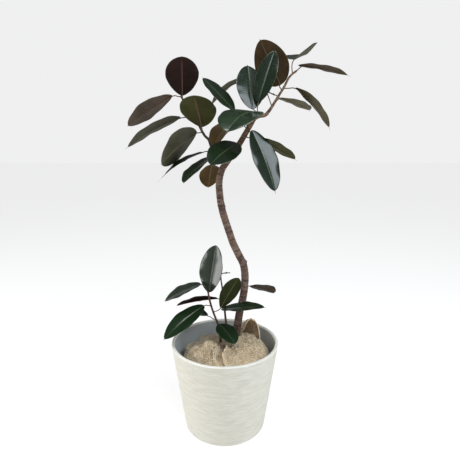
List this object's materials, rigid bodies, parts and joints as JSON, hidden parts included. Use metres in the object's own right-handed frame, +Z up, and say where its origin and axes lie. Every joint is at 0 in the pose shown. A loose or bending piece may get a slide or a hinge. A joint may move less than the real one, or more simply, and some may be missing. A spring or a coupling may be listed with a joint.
{
  "type": "potted plant",
  "caption": "Rubber plant with a bent woody stem, a side branch and broad glossy leaves, growing from burlap-covered soil in a plain tapered round planter.",
  "frame": {"origin": "middle of the planter's underside, where it stands on the floor", "axes": "+Z straight up along the planter's axis, -Y towards the side it is seen from, +X to that viewer's right"},
  "size_m": [0.602, 0.3531, 1.1042],
  "materials": {
    "planter": "matte",
    "nursery_pot": "matte",
    "soil": "matte",
    "burlap": "matte",
    "bark": "matte",
    "young_stem": "satin",
    "leaf": "gloss"
  },
  "bodies": {
    "root": {"planter": "planter", "nursery_pot": "nursery_pot", "soil": "soil", "burlap_cover": "burlap", "stem": "bark", "left_shoot": "young_stem", "right_shoot": "young_stem", "crown_leaf_01": "leaf", "crown_leaf_02": "leaf", "crown_leaf_03": "leaf", "crown_leaf_04": "leaf", "crown_leaf_05": "leaf", "crown_leaf_06": "leaf", "crown_leaf_07": "leaf", "crown_leaf_08": "leaf", "crown_leaf_09": "leaf", "crown_leaf_10": "leaf", "crown_leaf_11": "leaf", "crown_leaf_12": "leaf", "crown_leaf_13": "leaf", "crown_leaf_14": "leaf", "crown_leaf_15": "leaf", "crown_leaf_16": "leaf", "crown_leaf_17": "leaf", "crown_leaf_18": "leaf", "crown_leaf_19": "leaf", "crown_leaf_20": "leaf", "crown_leaf_21": "leaf", "crown_leaf_22": "leaf", "crown_leaf_23": "leaf", "basal_leaf_01": "leaf", "basal_leaf_02": "leaf", "basal_leaf_03": "leaf", "basal_leaf_04": "leaf", "basal_leaf_05": "leaf", "basal_leaf_06": "leaf", "basal_leaf_07": "leaf", "basal_leaf_08": "leaf", "basal_leaf_09": "leaf", "basal_leaf_10": "leaf"}
  },
  "joints": []
}
